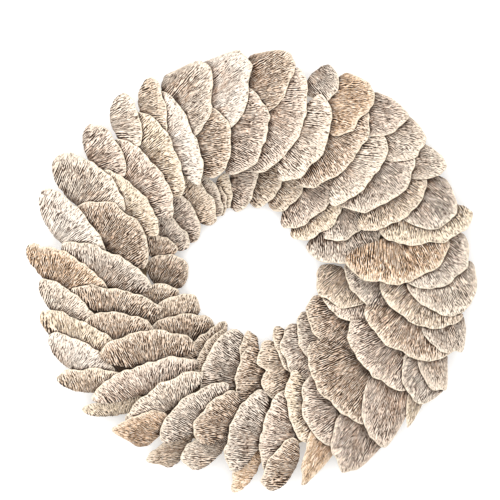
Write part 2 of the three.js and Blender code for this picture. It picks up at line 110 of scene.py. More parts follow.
# Straw strands over a core, laid in tracks that share out the girth of the ring's cross-section
STRAW_GIRTH = 0.16
STRAND_PITCH = 0.0029
STRAND_RADIUS = 0.0017
STRAND_SIDES = 6
STRAND_LENGTH = (0.08, 0.17)
STRAND_STEP = 0.007
STRAND_WIDTHS = (0.75, 1.1)
STRAND_WANDER = 0.0009
STRAND_BENDS = 2.4
STRAND_SINK = 1.05
STRAND_ADVANCE = 0.97
FINE_FRONT_CORNERS = 25
SLOPE_STEPS = 400
CORE_DEPTH = 0.0024
CORE_STEPS_ROUND = 160
CORE_STEPS_ACROSS = 40
GROOVE_DEPTH = 0.0028
GROOVE_HALF_WIDTH = 0.0033
GROOVE_SHARPNESS = 0.62

# Twine of twisted plies
TWINE_RADIUS = 0.0008
TWINE_DEPTH = 0.0012
TWINE_STEPS = 30
TWINE_PLIES = 3
TWINE_LAY = 0.006
LAY_STEPS = 8
PLY_OFFSET = 0.5
PLY_RADIUS = 0.56
PLY_SIDES = 6

# Face colours, and how strongly the gills stand out on brackets of each
TONES = {
    "white": "ebe7df", "pale": "e3d9ca", "cream": "e2d3b7", "pink": "dfcfc1", "grey": "d3cbc0",
    "tan": "d6c4ac", "brown": "cbb49c", "orange": "d8b48d", "buff": "dfbd94",
}
GILL_SHOW = {
    "white": 0.5, "pale": 0.75, "cream": 0.7, "pink": 0.9, "grey": 0.95,
    "tan": 0.85, "brown": 1.1, "orange": 0.85, "buff": 0.4,
}

# Patterns of a face: changes in a metre along the rim, changes in a metre towards the root, and detail
FACE_PATTERNS = {"streak": (620.0, 210.0, 3.0), "speck": (1350.0, 340.0, 2.0), "blotch": (45.0, 60.0, 3.0)}
PATTERN_ROUGHNESS = 0.6

# Colours of a face. The average is mixed into every tone, and the blotches come in towards the root.
AVERAGE_SHARE = 0.3
AVERAGE_COLOUR = "f0d6bf"
BLOTCH_FADE = (0.003, 0.03, 0.2, 0.8)
BLOTCH_RANGE = (0.36, 0.66, 0.0, 0.7)
BLOTCH_COLOUR = "bd8f68"
# How much the painted shade in the gill hollows deepens as the occlusion grows
HOLLOW_SHADE_BY_OCCLUSION = (0.0, 0.2, 0.85, 1.6)

# Colours laid over those one after another, painted shade among them: the value that brings each in, where it
# starts, where it is full, how much of it shows there, and its code
FACE_LAYERS = (
    # Painted shade, a soft brown where neighbouring brackets roof the face
    ("occlusion", 0.02, 0.3, 0.5, "966f52"),
    ("rim_gap", 0.006, 0.0015, 0.4, "ede1cd"),
    ("streak", 0.52, 0.68, 0.5, "86654e"),
    ("speck", 0.54, 0.63, 0.95, "463023"),
    ("speck", 0.49, 0.4, 0.7, "fff2e4"),
    # Painted shade in the gill hollows, deeper where the face is roofed
    ("sunk", 0.16, 0.6, 1.0, "281a12"),
    # Painted shade, dark brown close under a covering rim
    ("occlusion", 0.2, 0.55, 0.85, "33231a"),
    ("rim_gap", 0.0014, 0.0003, 0.5, "efe2cb"),
)

# Bands of the back, in changes a metre away from the rim and along it
BAND_PITCH = (190.0, 6.0)
BAND_RANGE = (0.35, 0.65)
BAND_COLOURS = ("9d8a74", "cfc4b4")
BACK_EDGE = (0.6, 0.3)

# Straw and twine colours, each as scale, detail, dark code and light code, and the painted shade that comes in
# with the straw's height, where the brackets lie over it
STRAW_PATCHES = (160.0, 3.0, "7f633a", "bda26c")
TWINE_PATCHES = (900.0, 2.0, "6f5434", "a58a60")
PATCH_RANGE = (0.3, 0.7)
STRAW_SHADE_RISE = (0.004, 0.024, 0.0, 0.93)
STRAW_SHADE_COLOUR = "3f2b1e"

# One line a bracket, clockwise from the top, in millimetres as in the solids: the rim's end towards the hole
# and its end towards the outside, how far the rim reaches clockwise beyond the line between its ends, how far
# the root lies behind that line, how far the crown leans outwards (in half widths), its tone, and, where it
# has one, a notch (place along the rim from 0 to 1, depth) or the word pointed.
OUTER_ROW = (
    ((-47, 110), (-68, 162), 32, 14, 0.65, "pale"),
    ((-19, 116), (-36, 173), 31, 13, 0.65, "white"),
    ((10, 129), (2, 178), 30, 13, 0.55, "brown"),
    ((43, 144), (64, 168), 18, 7, 0, "grey"),
    ((66, 110), (78, 162), 25, 11, 0.3, "orange", (0.3, 5)),
    ((91, 111), (103, 146), 28, 11, 0.25, "pink"),
    ((107, 91), (124, 129), 25, 13, 0.1, "pale"),
    ((129, 76), (138, 105), 24, 11, 0.1, "pale"),
    ((121, 44), (159, 74), 27, 15, 0.15, "grey"),
    ((103, 32), (180, 47), 17, 15, 0.1, "cream"),
    ((125, -8), (173, 30), 23, 15, 0.1, "grey"),
    ((125, -12), (181, 5), 33, 11, 0.2, "pale"),
    ((137, -46), (173, -39), 25, 11, 0.3, "grey"),
    ((134, -72), (159, -72), 26, 13, 0.6, "pale"),
    ((125, -66), (154, -99), 21, 13, 0.4, "grey"),
    ((126, -102), (140, -106), 24, 9, 0, "cream", "pointed"),
    ((93, -90), (130, -109), 42, 15, 0.5, "pink"),
    ((71, -116), (104, -145), 33, 13, 0.4, "pink"),
    ((47, -130), (69, -145), 41, 11, 0.4, "buff", "pointed"),
    ((34, -135), (13, -178), 11, 12, 0.3, "brown"),
    ((27, -96), (12, -163), 12, 15, 0, "pink"),
    ((8, -134), (-16, -181), 7, 9, 0.2, "buff"),
    ((-19, -125), (-50, -161), 15, 10, 0.6, "pale"),
    ((-50, -128), (-72, -160), 16, 8, 1, "tan"),
    ((-70, -115), (-96, -141), 22, 9, 1, "orange"),
    ((-84, -104), (-140, -113), 5, 9, 0, "cream"),
    ((-101, -87), (-160, -86), 8, 12, 0, "tan"),
    ((-112, -82), (-165, -51), 9, 16, 0, "white"),
    ((-110, -59), (-172, -33), 7, 18, 0.3, "cream"),
    ((-126, -43), (-172, -6), 8, 15, 0, "pale"),
    ((-118, -16), (-183, 22), 10.5, 18, 0, "orange", (0.75, 3)),
    ((-119, 15), (-170, 68), 9, 21, 0.1, "white"),
    ((-104, 49), (-161, 93), 16, 20, 0.1, "pale"),
    ((-105, 77), (-133, 120), 11.5, 16, 0, "pink"),
    ((-92, 102), (-105, 146), 7, 17, 0, "pale"),
    ((-71, 113), (-82, 159), 5.5, 16, 0, "tan"),
)
MIDDLE_ROW = (
    ((-33, 76), (-33, 133), 16, 14, 0, "brown"),
    ((-20, 79), (-5, 150), 25, 8, 0, "pink"),
    ((2, 81), (37, 166), 21, 10, 0, "pink"),
    ((22, 74), (56, 144), 21, 10, 0, "pale"),
    ((38, 70), (93, 130), 18, 12, 0, "brown"),
    ((64, 54), (106, 111), 14, 12, 0.2, "pale"),
    ((70, 55), (130, 97), 22, 8, 0, "grey"),
    ((86, 36), (141, 76), 15, 12, 0, "tan"),
    ((75, 9), (160, 25), 26, 12, 0, "orange"),
    ((104, -8), (171, -37), 20, 8, 0, "tan"),
    ((91, -29), (163, -64), 20, 10, 0.1, "brown"),
    ((80, -40), (128, -95), 17, 14, 0, "pink", (0.65, 4)),
    ((47, -58), (98, -122), 18, 22, 0, "brown"),
    ((50, -82), (70, -142), 19, 8, 0, "pink"),
    ((34, -80), (44, -139), 11, 8, 0, "cream"),
    ((8, -96), (-17, -162), 14, 14, 0, "grey"),
    ((-14, -97), (-42, -139), 14, 14, 0.3, "brown"),
    ((-20, -91), (-74, -137), 14, 12, 0.1, "grey"),
    ((-40, -82), (-103, -122), 11, 10, 0, "pale"),
    ((-45, -74), (-131, -104), 14, 10, 0, "pink"),
    ((-47, -59), (-124, -67), 15, 14, 0, "brown"),
    ((-79, -49), (-137, -41), 12, 10, 0, "brown"),
    ((-74, -30), (-147, -14), 8, 14, 0, "brown"),
    ((-82, -13), (-155, 22), 12, 14, 0, "grey"),
    ((-88, 3), (-145, 51), 26, 8, 0, "brown"),
    ((-77, 30), (-122, 82), 12, 12, 0, "cream"),
    ((-66, 44), (-112, 107), 15, 14, 0, "pink"),
    ((-59, 60), (-93, 130), 14, 14, 0, "cream"),
    ((-43, 71), (-75, 147), 12, 12, 0, "white"),
)
INNER_ROW = (
    ((-13, 49), (-1, 92), 9.5, 13, 0, "pink"),
    ((1, 53), (23, 90), 10.5, 13, 0, "tan"),
    ((17, 50), (41, 82), 10, 15, 0, "tan"),
    ((25, 36), (72, 76), 10.5, 15, 0, "pink"),
    ((32, 28), (72, 54), 10.5, 11, 0, "cream"),
    ((58, 28), (99, 52), 11, 13, 0, "grey"),
    ((44, 19), (105, 36), 20, 11, 0, "grey"),
    ((76, 6), (114, -31), 12, 19, 0, "grey"),
    ((55, 4), (92, -24), 18.5, 11, -0.1, "tan"),
    ((58, -18), (98, -41), 10, 13, 0, "pink"),
    ((50, -20), (84, -67), 17, 11, -0.2, "brown"),
    ((41, -33), (54, -76), 10, 11, 0, "grey"),
    ((31, -43), (48, -88), 15, 11, 0, "grey"),
    ((18, -45), (33, -84), 5.5, 11, 0, "tan"),
    ((11, -56), (18, -104), 10, 15, 0, "tan", (0.5, 6)),
    ((-1, -61), (-8, -110), 9, 17, 0, "brown"),
    ((-4, -48), (-8, -80), 4, 11, 0, "tan"),
    ((-13, -47), (-38, -105), 13.5, 19, 0, "grey"),
    ((-23, -47), (-47, -82), 6, 11, 0, "tan"),
    ((-22, -41), (-57, -70), 4, 11, 0, "tan"),
    ((-31, -45), (-82, -45), 10.5, 13, -0.2, "brown"),
    ((-43, -30), (-90, -39), 14, 11, -0.5, "tan"),
    ((-60, -21), (-98, -16), 9, 11, -0.4, "tan"),
    ((-55, -9), (-86, 8), 16, 13, -0.25, "brown"),
    ((-61, 18), (-90, 32), 4.5, 15, 0, "brown"),
    ((-52, 20), (-80, 47), 8, 13, 0, "grey"),
    ((-46, 25), (-68, 65), 11, 13, 0, "pink"),
    ((-31, 40), (-57, 78), 10, 15, 0, "tan"),
    ((-26, 46), (-42, 80), 7, 11, 0, "pale"),
    ((-24, 46), (-27, 70), 4, 9, 0, "brown"),
    ((-19, 52), (-21, 81), 3, 11, 0, "cream"),
)
ROWS = {"o": (0, OUTER_ROW), "m": (1, MIDDLE_ROW), "i": (2, INNER_ROW)}

# Camera straight above, at the photograph's scale in metres to a pixel, with each lamp as place, size and power
PHOTO_SIZE = 500
PIXEL = 0.370 / 448
WREATH_PIXEL = (252.5, 271.5)
CAMERA_HEIGHT = 2.6
SENSOR = 0.036
CAMERA_REACH = 20
FLOOR_SIZE = 6
FLOOR_GLOW = 0.22
SKY_COLOUR = (1.0, 0.99, 0.97, 1)
SKY_STRENGTH = 0.75
LAMPS = (
    ("top_light", (0.0, 0.0, 2.2), 1.8, 36.0),
    ("side_light", (-1.2, 1.3, 1.6), 1.0, 16.0),
)


def linear_colour(code):
    """A six-digit sRGB code as linear red, green and blue, and a full alpha."""
    channels = [int(code[i:i + 2], 16) / 255 for i in (0, 2, 4)]
    return (*[c / 12.92 if c <= 0.04045 else ((c + 0.055) / 1.055) ** 2.4 for c in channels], 1.0)


def add_node(tree, kind, inputs=None, **settings):
    """Adds a node to a tree. Each input is a value, or the output socket that feeds it."""
    node = tree.nodes.new(kind)
    for name, value in settings.items():
        setattr(node, name, value)
    for key, value in (inputs or {}).items():
        if isinstance(value, bpy.types.NodeSocket):
            tree.links.new(value, node.inputs[key])
        else:
            node.inputs[key].default_value = value
    return node


def maths(tree, operation, *values):
    """The result of a Math node on values or sockets."""
    return add_node(tree, "ShaderNodeMath", dict(enumerate(values)), operation=operation).outputs[0]


def product(tree, first, *others):
    """Values or sockets multiplied together."""
    for other in others:
        first = maths(tree, "MULTIPLY", first, other)
    return first


def vector_maths(tree, operation, *values, **named):
    """The vector that a Vector Math node makes of values or sockets."""
    inputs = {**dict(enumerate(values)), **named}
    return add_node(tree, "ShaderNodeVectorMath", inputs, operation=operation).outputs[0]


def vector(tree, *values):
    """A vector made of three values or sockets."""
    return add_node(tree, "ShaderNodeCombineXYZ", dict(enumerate(values))).outputs[0]


def smooth_range(tree, value, low, high, to_low=0.0, to_high=1.0):
    """A value eased from one range into another."""
    inputs = {"Value": value, "From Min": low, "From Max": high, "To Min": to_low, "To Max": to_high}
    return add_node(tree, "ShaderNodeMapRange", inputs, interpolation_type="SMOOTHSTEP").outputs[0]


def noise(tree, place, scale, detail=2.0, roughness=0.5):
    """A noise value from 0 to 1 at a place."""
    inputs = {"Vector": place, "Scale": scale, "Detail": detail, "Roughness": roughness}
    return add_node(tree, "ShaderNodeTexNoise", inputs).outputs[0]


def mix_colour(tree, factor, first, second):
    """One colour mixed into another. The numbers are those of the node's colour sockets."""
    inputs = {0: factor, 6: first, 7: second}
    return add_node(tree, "ShaderNodeMix", inputs, data_type="RGBA").outputs[2]


def named_field(tree, name):
    """A Geometry Nodes field that reads one of the mesh's numbers."""
    return add_node(tree, "GeometryNodeInputNamedAttribute", {"Name": name}, data_type="FLOAT").outputs[0]


def new_geometry_tree(name, sockets):
    """A Geometry Nodes tree with its named inputs, and its input and output nodes."""
    tree = bpy.data.node_groups.new(name, "GeometryNodeTree")
    tree.interface.new_socket("Geometry", in_out="INPUT", socket_type="NodeSocketGeometry")
    for socket_name, kind, value in sockets:
        socket = tree.interface.new_socket(socket_name, in_out="INPUT", socket_type=kind)
        if value is not None:
            socket.default_value = value
    tree.interface.new_socket("Geometry", in_out="OUTPUT", socket_type="NodeSocketGeometry")
    return tree, tree.nodes.new("NodeGroupInput"), tree.nodes.new("NodeGroupOutput")


def finish_tree(tree, geometry, material, output):
    """Ends a tree in plain geometry with its material."""
    realized = add_node(tree, "GeometryNodeRealizeInstances", {"Geometry": geometry}).outputs[0]
    inputs = {"Geometry": realized, "Material": material}
    coloured = add_node(tree, "GeometryNodeSetMaterial", inputs).outputs[0]
    tree.links.new(coloured, output.inputs[0])


def run_tree(piece, tree, values):
    """Runs a tree on a piece and keeps its result as a plain mesh."""
    modifier = piece.modifiers.new(tree.name, "NODES")
    modifier.node_group = tree
    for item in tree.interface.items_tree:
        if item.item_type == "SOCKET" and item.in_out == "INPUT" and item.name in values:
            modifier[item.identifier] = values[item.name]
    evaluated = piece.evaluated_get(bpy.context.evaluated_depsgraph_get())
    mesh = bpy.data.meshes.new_from_object(evaluated)
    piece.modifiers.clear()
    piece.data = mesh
    mesh.shade_smooth()


def make_piece(name, vertices, faces, attributes=None, edges=()):
    """A mesh object at the origin with named point attributes, each of one number or of a colour."""
    mesh = bpy.data.meshes.new(name)
    mesh.from_pydata(vertices, edges, faces)
    for key, values in (attributes or {}).items():
        values = np.asarray(values, np.float32)
        kind, field = ("FLOAT", "value") if values.ndim == 1 else ("FLOAT_COLOR", "color")
        mesh.attributes.new(key, kind, "POINT").data.foreach_set(field, values.ravel())
    piece = bpy.data.objects.new(name, mesh)
    bpy.context.scene.collection.objects.link(piece)
    return piece


def running_lengths(line):
    """Length along a line of points, one row for each axis, from its first point to each of them."""
    return np.concatenate([[0], np.cumsum(np.linalg.norm(np.diff(line), axis=0))])


def join_shells(shells):
    """Several closed shells as one list of vertices, faces and attributes."""
    vertices, faces, attributes = [], [], {}
    for shell_vertices, shell_faces, shell_attributes in shells:
        start = len(vertices)
        vertices.extend(shell_vertices)
        faces.extend(tuple(start + i for i in face) for face in shell_faces)
        for key, values in shell_attributes.items():
            attributes.setdefault(key, []).extend(values)
    return vertices, faces, attributes


def seeded_draws(seed):
    """Even draws from 0 to 1, the same ones that the solids' lobes take."""
    low_bits = 0xFFFFFFFF
    state = seed & low_bits
    while True:
        state = (state + 0x6D2B79F5) & low_bits
        mixed = ((state ^ (state >> 15)) * (state | 1)) & low_bits
        mixed ^= (mixed + (mixed ^ (mixed >> 7)) * (mixed | 61)) & low_bits
        yield (mixed ^ (mixed >> 14)) / (low_bits + 1)


def underside_height(x, y, root_bearing):
    """Height of a bracket's back over its root line's height at the ring's crest."""
    radius = np.hypot(x, y)
    turn = np.arctan2(x, y) - root_bearing
    clockwise = RING_RADIUS * (turn - 2 * np.pi * np.round(turn / (2 * np.pi)))
    droop = np.where(radius > RING_RADIUS, DROOP_OUTWARDS, DROOP_INWARDS)
    return CLIMB * clockwise - CLIMB_EASE * clockwise ** 2 - droop * (radius - RING_RADIUS) ** 2


class Bracket:
    """One bracket of the table: its plan and its thickness, from root to rim."""

    def __init__(self, member):
        self.row, table = ROWS[member[0]]
        self.index = int(member[1:]) - 1
        inner, outer, reach, back, self.lean, self.tone, *extra = table[self.index]
        self.inner = np.array(inner) * MM
        outer = np.array(outer) * MM
        self.half_width = np.linalg.norm(outer - self.inner) / 2
        self.along = (outer - self.inner) / (2 * self.half_width)
        self.across = np.array([self.along[1], -self.along[0]])
        self.centre = (self.inner + outer) / 2
        self.reach = reach * MM
        self.back = back * MM
        self.power, self.root = POINTED_FORM if extra == ["pointed"] else ROUND_FORM
        self.notch = extra[0] if extra and extra != ["pointed"] else None
        draws = seeded_draws(SEED + self.index * 7 + self.row * 1000)
        self.lobes = 2 + 2 * next(draws)
        self.lobe_phase = next(draws)
        root = self.centre - self.across * self.back
        self.root_bearing = math.atan2(root[0], root[1])
        self.lift = 0.0

    def place(self, a, c):
        """Points of the plan, so far along and across the line between the rim's ends."""
        return self.centre[:, None] + self.along[:, None] * a + self.across[:, None] * c

    def rim(self, u):
        """The rim's line, from the end towards the hole (0) to the end towards the outside (1)."""
        t = -np.cos(np.pi * u)
        swell = np.clip(1 - np.abs(t) ** self.power, 0, 1) ** (1 / self.root)
        lobe = 1 + LOBE_DEPTH * np.sin(2 * np.pi * (self.lobes * u + self.lobe_phase))
        cut = np.zeros_like(u)
        if self.notch:
            columns = max(MIN_COLUMNS, 2 * round(self.half_width / COLUMN_PITCH))
            deepest = round(self.notch[0] * columns) / columns
            cut = self.notch[1] * MM * np.clip(1 - np.abs(u - deepest) * columns, 0, 1)
        return self.place((t + self.lean * (1 - t ** 2)) * self.half_width, self.reach * swell * lobe - cut)

    def root_edge(self, u):
        """The root's line, hidden under the neighbours."""
        t = -np.cos(np.pi * u)
        t = t * (1 - ROOT_NARROWING * (1 - t ** 2))
        return self.place(t * self.half_width, -self.back * np.sqrt(np.clip(1 - t ** 2, 0, 1)))

    def thickness(self, u, v):
        """Thickness at a place along the rim and a share of the way from root (0) to rim (1)."""
        return RIM_THICKNESS + (ROOT_THICKNESS - RIM_THICKNESS) * (1 - v) * np.sqrt(np.sin(np.pi * u))

    def back_height(self, x, y):
        """Height of the bracket's back over the wreath's own back."""
        return underside_height(x, y, self.root_bearing) + self.lift

    def sit_on(self, node):
        """Takes the bracket's height from its own solid, at the end of its rim."""
        points = np.array([vertex.co for vertex in node.data.vertices])
        near = np.hypot(points[:, 0] - self.inner[0], points[:, 1] - self.inner[1]) < SAME_POINT
        self.lift = points[near, 2].min() - float(underside_height(*self.inner, self.root_bearing))


def occlusion_tree():
    """All the solids as one tree that rays can be cast at, and the directions in which a face looks up."""
    vertices, faces = [], []
    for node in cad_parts.values():
        start = len(vertices)
        vertices.extend(vertex.co[:] for vertex in node.data.vertices)
        faces.extend(tuple(start + i for i in face.vertices) for face in node.data.polygons)
    directions = []
    for k in range(OCCLUSION_RAYS):
        height = math.sqrt((k + 0.5) / OCCLUSION_RAYS)
        turn = k * math.pi * (3 - math.sqrt(5))
        flat = math.sqrt(1 - height ** 2)
        directions.append((flat * math.cos(turn), flat * math.sin(turn), height))
    return BVHTree.FromPolygons(vertices, faces), directions


def occlusion_along(points, occlusion):
    """How closely a row of points is roofed by other brackets, from 0 in the open to 1."""
    tree, directions = occlusion
    found = []
    for x, y, z in points[::COLUMNS_PER_GILL]:
        closed = 0.0
        for direction in directions:
            distance = tree.ray_cast((x, y, z + OCCLUSION_START), direction, OCCLUSION_REACH)[3]
            if distance is not None:
                closed += 1 - distance / OCCLUSION_REACH
        found.append(closed / len(directions))
    return np.interp(np.arange(len(points)), np.arange(0, len(points), COLUMNS_PER_GILL), found)


def gill_columns(rim_length, random):
    """Columns along a rim: their distance along it, their gill's number and its ridge, from 0 to 1."""
    gills = round(rim_length / GILL_PITCH)
    widths = random.uniform(*GILL_WIDTHS, gills)
    ends = np.concatenate([[0], np.cumsum(widths)]) / widths.sum() * rim_length
    phases = np.arange(COLUMNS_PER_GILL) / COLUMNS_PER_GILL
    distance = (ends[:-1, None] + np.diff(ends)[:, None] * phases).ravel()[1:]
    number = np.repeat(np.arange(gills), COLUMNS_PER_GILL)[1:]
    ridge = np.tile(1 - (2 * phases - 1) ** 2, gills)[1:]
    return distance, number, ridge


def rim_waves(distance, rim_length, random):
    """How far the rim lies outside its smooth line, at distances along it."""
    knots = np.linspace(0, rim_length, RIM_WAVE_KNOTS)
    ragged = np.zeros_like(distance)
    for wave_length, height in RIM_WAVES:
        swell = np.interp(distance, knots, random.uniform(*RIM_WAVE_SWELL, len(knots)))
        ragged += height * swell * np.sin(2 * np.pi * (distance / wave_length + random.uniform()))
    return ragged


def shell_faces(columns, depth):
    """Quads round a shell from column to column, and fans that close it at its first and its last tip."""
    faces = []
    for c in range(columns - 1):
        for r in range(depth):
            after = (r + 1) % depth
            near, far = c * depth, (c + 1) * depth
            faces.append((near + r, near + after, far + after, far + r))
    end = (columns - 1) * depth
    first, last = columns * depth, columns * depth + 1
    for r in range(depth):
        after = (r + 1) % depth
        faces.append((first, after, r))
        faces.append((last, end + r, end + after))
    return faces


def with_tips(rows, first, last):
    """Values given row by row, laid out column by column and followed by those of the two tips."""
    return np.concatenate([np.stack(rows, axis=1).ravel(), [first, last]])


def bracket_shell(bracket, occlusion):
    """Closed shell of a bracket: the gilled face, the rim's rounded edge and the back, column by column."""
    random = np.random.default_rng(SEED + bracket.index * 11 + bracket.row * 500)
    fine = np.linspace(0, 1, RIM_SAMPLES)
    lengths = running_lengths(bracket.rim(fine))
    distance, number, ridge = gill_columns(lengths[-1], random)
    show = GILL_SHOW[bracket.tone] * random.uniform(*GILL_VARIETY)
    u = np.interp(distance, lengths, fine)
    rim = bracket.rim(u) + bracket.across[:, None] * rim_waves(distance, lengths[-1], random)
    root = bracket.root_edge(u)
    reach = np.hypot(*(rim - root))
    rows = [(v, 1.0) for v in FACE_ROWS] + [(1.0, 0.5)] + [(v, 0.0) for v in BACK_ROWS]
    grid, gap, side, occluded = [], [], [], []
    for v, share in rows:
        x, y = root + (rim - root) * v
        points = np.stack([x, y, bracket.back_height(x, y) + bracket.thickness(u, v) * share], axis=1)
        grid.append(points)
        gap.append((1 - v) * reach)
        side.append(np.full(len(u), share))
        # Occlusion of each face point, which the material turns into painted shade
        occluded.append(occlusion_along(points, occlusion) if share == 1 else np.zeros(len(u)))
    tips = []
    for end in (0.0, 1.0):
        x, y = bracket.rim(np.array([end]))[:, 0]
        tips.append([x, y, float(bracket.back_height(x, y)) + RIM_THICKNESS / 2])
    vertices = np.concatenate([np.stack(grid, axis=1).reshape(-1, 3), tips])
    depth = len(rows)
    attributes = {
        "rim_place": with_tips([distance] * depth, 0, lengths[-1]),
        "rim_gap": with_tips(gap, 0, 0),
        "gilled": with_tips(side, 0.5, 0.5),
        "occlusion": with_tips(occluded, 0, 0),
        "gill_number": with_tips([number] * depth, 0, number[-1] + 1),
        "gill_ridge": with_tips([ridge] * depth, 0, 0),
        "gill_show": np.full(len(vertices), show),
        "bracket_seed": np.full(len(vertices), random.uniform(0, 100)),
        "tone": np.tile(linear_colour(TONES[bracket.tone]), (len(vertices), 1)),
    }
    faces = shell_faces(len(u), depth)
    return vertices.tolist(), faces, {key: list(values) for key, values in attributes.items()}


def gill_tree():
    """Gills that follow a bracket's face from root to rim, with gentle waves of the whole bracket."""
    tree, given, output = new_geometry_tree("gills", [
        ("Depth", "NodeSocketFloat", GILL_DEPTH),
        ("Bare Rim", "NodeSocketFloat", 0.0007),
        ("Break Length", "NodeSocketFloat", 0.0027),
        ("Wave Height", "NodeSocketFloat", 0.0016),
        ("Wave Length", "NodeSocketFloat", 0.016),
        ("Wander", "NodeSocketFloat", 0.0017),
        ("Material", "NodeSocketMaterial", None),
    ])
    sizes = given.outputs
    place = named_field(tree, "rim_place")
    gap = named_field(tree, "rim_gap")
    seed = named_field(tree, "bracket_seed")
    ridge = named_field(tree, "gill_ridge")

    # Every gill breaks off and starts again on its way to the root, and stands higher there
    along_gill = maths(tree, "DIVIDE", gap, sizes["Break Length"])
    across_gills = product(tree, named_field(tree, "gill_number"), GILL_APART)
    broken = noise(tree, vector(tree, across_gills, along_gill, seed), *GILL_NOISE)
    towards_root = product(tree, smooth_range(tree, gap, *GILL_FADE), named_field(tree, "gill_show"))
    strength = product(tree, smooth_range(tree, broken, *GILL_BREAKS), towards_root)

    # The rim's edge and the back have none
    bare = sizes["Bare Rim"]
    behind_rim = smooth_range(tree, gap, bare, product(tree, bare, BARE_RIM_EASE))
    mask = product(tree, behind_rim, maths(tree, "GREATER_THAN", named_field(tree, "gilled"), FACE_SHARE))
    raised = maths(tree, "SUBTRACT", ridge, RIDGE_LEVEL)
    gill_height = product(tree, raised, strength, mask, sizes["Depth"])

    # The bracket waves up and down near its rim
    wave_place = vector(tree, maths(tree, "DIVIDE", place, sizes["Wave Length"]), seed,
                        product(tree, gap, WAVE_SKEW))
    wave = maths(tree, "SUBTRACT", noise(tree, wave_place, 1.0, 1.0), 0.5)
    wave_height = product(tree, wave, smooth_range(tree, gap, *WAVE_FADE), sizes["Wave Height"], 2.0)

    # The gills wander sideways, and hardly at all at the rim
    position = add_node(tree, "GeometryNodeInputPosition").outputs[0]
    drift = add_node(tree, "ShaderNodeTexNoise",
                     {"Vector": position, "Scale": WANDER_SCALE, "Detail": WANDER_DETAIL}).outputs[1]
    centred = vector_maths(tree, "SUBTRACT", drift, (0.5, 0.5, 0.5))
    sideways = vector_maths(tree, "MULTIPLY", centred, (2.0, 2.0, 0.0))
    free = product(tree, sizes["Wander"], smooth_range(tree, gap, *WANDER_FADE))
    wander = vector_maths(tree, "SCALE", sideways, Scale=free)

    upwards = vector(tree, 0.0, 0.0, maths(tree, "ADD", gill_height, wave_height))
    offset = vector_maths(tree, "ADD", wander, upwards)
    # The gill hollows, kept for the painted shade that the material lays in them
    hollow = product(tree, mask, strength, maths(tree, "SUBTRACT", 1.0, ridge))
    stored = add_node(tree, "GeometryNodeStoreNamedAttribute",
                      {"Geometry": sizes["Geometry"], "Name": "gill_hollow", "Value": hollow},
                      data_type="FLOAT", domain="POINT").outputs[0]
    moved = add_node(tree, "GeometryNodeSetPosition", {"Geometry": stored, "Offset": offset}).outputs[0]
    finish_tree(tree, moved, sizes["Material"], output)
    return tree


def sweep_tree():
    """Round strands along the lines of a mesh, each as thick as its line says."""
    tree, given, output = new_geometry_tree("swept_strands", [
        ("Radius", "NodeSocketFloat", STRAND_RADIUS),
        ("Sides", "NodeSocketInt", STRAND_SIDES),
        ("Material", "NodeSocketMaterial", None),
    ])
    curve = add_node(tree, "GeometryNodeMeshToCurve", {"Mesh": given.outputs["Geometry"]}).outputs[0]
    sized = add_node(tree, "GeometryNodeSetCurveRadius",
                     {"Curve": curve, "Radius": named_field(tree, "strand_width")}).outputs[0]
    profile = add_node(tree, "GeometryNodeCurvePrimitiveCircle",
                       {"Resolution": given.outputs["Sides"], "Radius": given.outputs["Radius"]}).outputs[0]
    swept = add_node(tree, "GeometryNodeCurveToMesh",
                     {"Curve": sized, "Profile Curve": profile, "Fill Caps": True}).outputs[0]
    finish_tree(tree, swept, given.outputs["Material"], output)
    return tree


@cache
def section_corners(front_corners):
    """The ring's cross-section from the back's outer edge over the front and back along the back.

    Gives its corners as (out from the ring's centre line, height) and the length along it to each.
    """
    corners = [(RING_BACK_HALF_WIDTH, 0.0)]
    for angle in np.linspace(0, np.pi, front_corners):
        height = RING_SHOULDER + (RING_HEIGHT - RING_SHOULDER) * math.sin(angle)
        corners.append((RING_HALF_WIDTH * math.cos(angle), height))
    corners += [(-RING_BACK_HALF_WIDTH, 0.0), (RING_BACK_HALF_WIDTH, 0.0)]
    corners = np.array(corners)
    return corners, running_lengths(corners.T)


def section_point(share, depth):
    """A point of the cross-section, at a share from 0 to 1 of the way round it, sunk by a depth."""
    corners, lengths = section_corners(FINE_FRONT_CORNERS)
    at = share % 1 * lengths[-1]
    step = lengths[-1] / SLOPE_STEPS
    before, here, after = [np.array([np.interp((at + shift) % lengths[-1], lengths, corners[:, axis])
                                     for axis in (0, 1)]) for shift in (-step, 0, step)]
    direction = (after - before) / np.linalg.norm(after - before)
    inwards = np.array([-direction[1], direction[0]])
    return here + inwards * depth


def groove_share(share):
    """How far round its turn the twine is at a place of the section: it steps on evenly by corner."""
    corners, lengths = section_corners(FRONT_CORNERS)
    turns = np.linspace(0, 1, len(corners))
    return float(np.interp(share % 1, lengths / lengths[-1], turns))


def groove_dip(angle, share):
    """Depth of the twine's groove in the straw, at an angle round the ring and a share of the section."""
    turn = angle * TWINE_TURNS / (2 * math.pi) - groove_share(share)
    away = abs(turn - round(turn)) * 2 * math.pi / TWINE_TURNS * RING_RADIUS
    return GROOVE_DEPTH * math.exp(-((away / (GROOVE_SHARPNESS * GROOVE_HALF_WIDTH)) ** 2))


def ring_place(angle, share, depth):
    """A point of the straw ring's surface, sunk by a depth."""
    out, height = section_point(share, depth)
    radius = RING_RADIUS + out
    return (radius * math.cos(angle), radius * math.sin(angle), height)


def ring_core():
    """The closed body of the straw ring, a little inside its strands."""
    shares = np.linspace(0, 1, CORE_STEPS_ACROSS, endpoint=False)
    vertices = []
    faces = []
    for i in range(CORE_STEPS_ROUND):
        angle = 2 * math.pi * i / CORE_STEPS_ROUND
        for share in shares:
            vertices.append(ring_place(angle, share, CORE_DEPTH + groove_dip(angle, share)))
    for i in range(CORE_STEPS_ROUND):
        here = i * CORE_STEPS_ACROSS
        beside = (i + 1) % CORE_STEPS_ROUND * CORE_STEPS_ACROSS
        for j in range(CORE_STEPS_ACROSS):
            after = (j + 1) % CORE_STEPS_ACROSS
            faces.append((here + j, beside + j, beside + after, here + after))
    return vertices, faces


